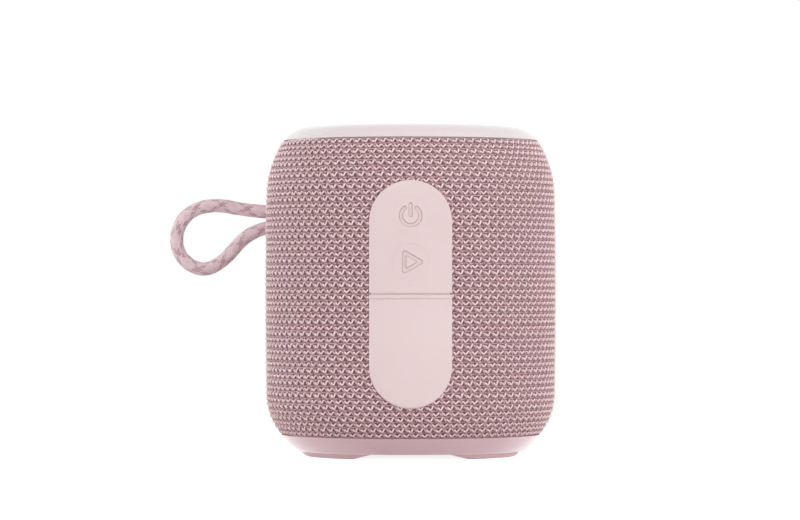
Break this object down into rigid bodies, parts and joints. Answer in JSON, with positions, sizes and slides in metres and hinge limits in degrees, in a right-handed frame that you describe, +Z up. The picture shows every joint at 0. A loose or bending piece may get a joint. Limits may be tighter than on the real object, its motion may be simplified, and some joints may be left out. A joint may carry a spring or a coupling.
{
  "type": "shower speaker",
  "caption": "Upright drum speaker in a knitted sleeve, with soft power and play keys, a hinged charging port cover, a hanging cord and a radiator that fires down between two feet.",
  "frame": {"origin": "middle of the plane that the two feet stand on, on the drum's axis", "axes": "+Z up along the drum's axis, -Y out of the control panel, -X towards the hanging cord"},
  "size_m": [0.1198, 0.0905, 0.1012],
  "materials": {
    "moulded_pink_plastic": "satin moulded ABS",
    "knitted_sleeve": "two-tone polyester knit",
    "housing_plastic": "plain moulded ABS",
    "pink_silicone": "soft matt silicone",
    "foot_rubber": "matt moulded rubber",
    "black_rubber": "satin rubber",
    "plated_steel": "zinc plated",
    "board_laminate": "solder mask",
    "black_plastic": "moulded",
    "shield_metal": "drawn tin shield",
    "cell_wrap": "printed-free shrink wrap over a steel can",
    "magnet_metal": "nickel plated",
    "copper_wire": "wound and lacquered",
    "cone_paper": "pressed fibre",
    "spider_cloth": "resin-dipped cloth",
    "lead_insulation": "smooth",
    "braided_cord": "two-tone braid"
  },
  "bodies": {
    "root": {"top_cap": "moulded_pink_plastic", "base_shell": "moulded_pink_plastic", "fabric_sleeve": "knitted_sleeve", "housing": "housing_plastic", "panel_frame": "housing_plastic", "port_well": "housing_plastic", "driver_baffle": "housing_plastic", "chassis_plate": "housing_plastic", "battery_cradle": "housing_plastic", "button_posts": "housing_plastic", "cord_anchor": "housing_plastic", "cord_eyelet": "housing_plastic", "button_pad": "pink_silicone", "cover_tail": "pink_silicone", "foot_left": "foot_rubber", "foot_right": "foot_rubber", "cap_seal": "black_rubber", "base_seal": "black_rubber", "radiator_surround": "black_rubber", "driver_surround": "black_rubber", "driver_gasket": "black_rubber", "radiator_screws": "plated_steel", "button_screws": "plated_steel", "board_screws": "plated_steel", "driver_screws": "plated_steel", "cord_screws": "plated_steel", "hinge_pin": "plated_steel", "driver_yoke": "plated_steel", "pole_plate": "plated_steel", "port_shell": "plated_steel", "main_board": "board_laminate", "button_board": "board_laminate", "port_board": "board_laminate", "radiator_clamp": "black_plastic", "driver_basket": "black_plastic", "power_switch": "black_plastic", "play_switch": "black_plastic", "board_chips": "black_plastic", "lead_sockets": "black_plastic", "port_tongue": "black_plastic", "driver_terminal": "black_plastic", "radio_module": "shield_metal", "battery_cell": "cell_wrap", "driver_magnet": "magnet_metal", "driver_spider": "spider_cloth", "battery_lead": "lead_insulation", "speaker_lead": "lead_insulation", "hang_cord": "braided_cord"},
    "power_button": {"power_key": "pink_silicone", "power_plunger": "black_plastic"},
    "play_button": {"play_key": "pink_silicone", "play_plunger": "black_plastic"},
    "port_cover": {"port_cover": "pink_silicone"},
    "cone": {"driver_cone": "cone_paper", "dust_cap": "cone_paper", "voice_coil": "copper_wire"},
    "radiator": {"radiator_plate": "cone_paper", "radiator_weight": "plated_steel"}
  },
  "joints": [
    {"name": "power_button_press", "type": "slide", "parent": "root", "child": "power_button", "axis": [0, 1, 0], "range_m": [0, 0.00035], "stiffness_N_per_m": 400},
    {"name": "play_button_press", "type": "slide", "parent": "root", "child": "play_button", "axis": [0, 1, 0], "range_m": [0, 0.00035], "stiffness_N_per_m": 400},
    {"name": "port_cover_hinge", "type": "hinge", "parent": "root", "child": "port_cover", "pos_m": [0, -0.0438, 0.0195], "axis": [1, 0, 0], "range_deg": [0, 105]},
    {"name": "cone_stroke", "type": "slide", "parent": "root", "child": "cone", "axis": [0, 1, 0], "range_m": [-0.0015, 0.0015], "stiffness_N_per_m": 800, "deforming": ["driver_surround", "driver_spider"]},
    {"name": "radiator_stroke", "type": "slide", "parent": "root", "child": "radiator", "axis": [0, 0, 1], "range_m": [-0.0012, 0.0015], "stiffness_N_per_m": 1500, "deforming": ["radiator_surround"]}
  ]
}
